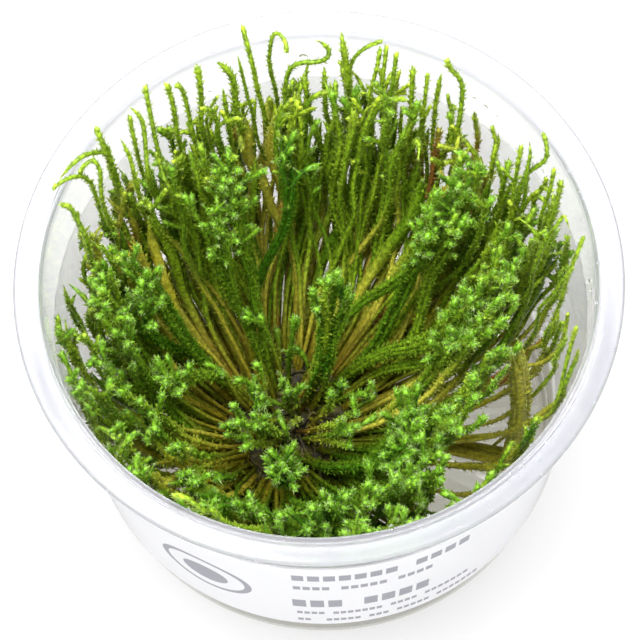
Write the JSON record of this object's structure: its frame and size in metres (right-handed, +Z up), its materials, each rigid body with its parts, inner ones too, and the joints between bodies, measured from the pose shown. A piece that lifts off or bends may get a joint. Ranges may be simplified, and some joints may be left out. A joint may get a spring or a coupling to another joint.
{
  "type": "spiky moss in a tissue culture cup",
  "caption": "Dense clump of upright leafy moss shoots that spread from a low mat, round a hollow, to the wall and past the rim of an open, round, thin-walled flanged cup with a plain band.",
  "frame": {"origin": "centre of the cup's foot, on the surface it rests on", "axes": "+Z up along the cup's axis, -Y towards the front, where the clump is lowest"},
  "size_m": [0.095, 0.095, 0.0651],
  "materials": {
    "polypropylene": "satin",
    "printed_band": "satin",
    "old_moss": "matte",
    "green_moss": "matte"
  },
  "bodies": {
    "root": {"cup": "polypropylene", "label_band": "printed_band", "moss_mat": "old_moss", "moss_lock_01": "green_moss", "moss_lock_02": "green_moss", "moss_lock_03": "green_moss", "moss_lock_04": "green_moss", "moss_lock_05": "green_moss", "moss_lock_06": "green_moss", "moss_lock_07": "green_moss", "moss_lock_08": "green_moss", "moss_lock_09": "green_moss", "moss_lock_10": "green_moss", "moss_lock_11": "green_moss", "moss_lock_12": "green_moss", "moss_lock_13": "green_moss", "moss_lock_14": "green_moss", "moss_lock_15": "green_moss", "moss_lock_16": "green_moss", "moss_lock_17": "green_moss", "moss_lock_18": "green_moss", "moss_lock_19": "green_moss", "moss_lock_20": "green_moss", "moss_lock_21": "green_moss", "moss_lock_22": "green_moss", "moss_lock_23": "green_moss", "moss_lock_24": "green_moss", "moss_lock_25": "green_moss", "moss_lock_26": "green_moss", "moss_lock_27": "green_moss", "moss_lock_28": "green_moss", "moss_lock_29": "green_moss", "moss_lock_30": "green_moss", "moss_lock_31": "green_moss", "moss_lock_32": "green_moss", "moss_lock_33": "green_moss", "moss_lock_34": "green_moss", "moss_lock_35": "green_moss", "moss_lock_36": "green_moss", "moss_lock_37": "green_moss", "moss_lock_38": "green_moss", "moss_lock_39": "green_moss", "moss_lock_40": "green_moss", "moss_lock_41": "green_moss", "moss_lock_42": "green_moss", "moss_lock_43": "green_moss", "moss_lock_44": "green_moss", "moss_shoot_1": "green_moss", "moss_shoot_2": "green_moss", "moss_shoot_3": "green_moss", "moss_shoot_4": "green_moss", "moss_shoot_5": "green_moss", "moss_shoot_6": "green_moss", "moss_tuft_1": "green_moss", "moss_tuft_2": "green_moss", "moss_tuft_3": "green_moss", "moss_tuft_4": "green_moss"}
  },
  "joints": []
}
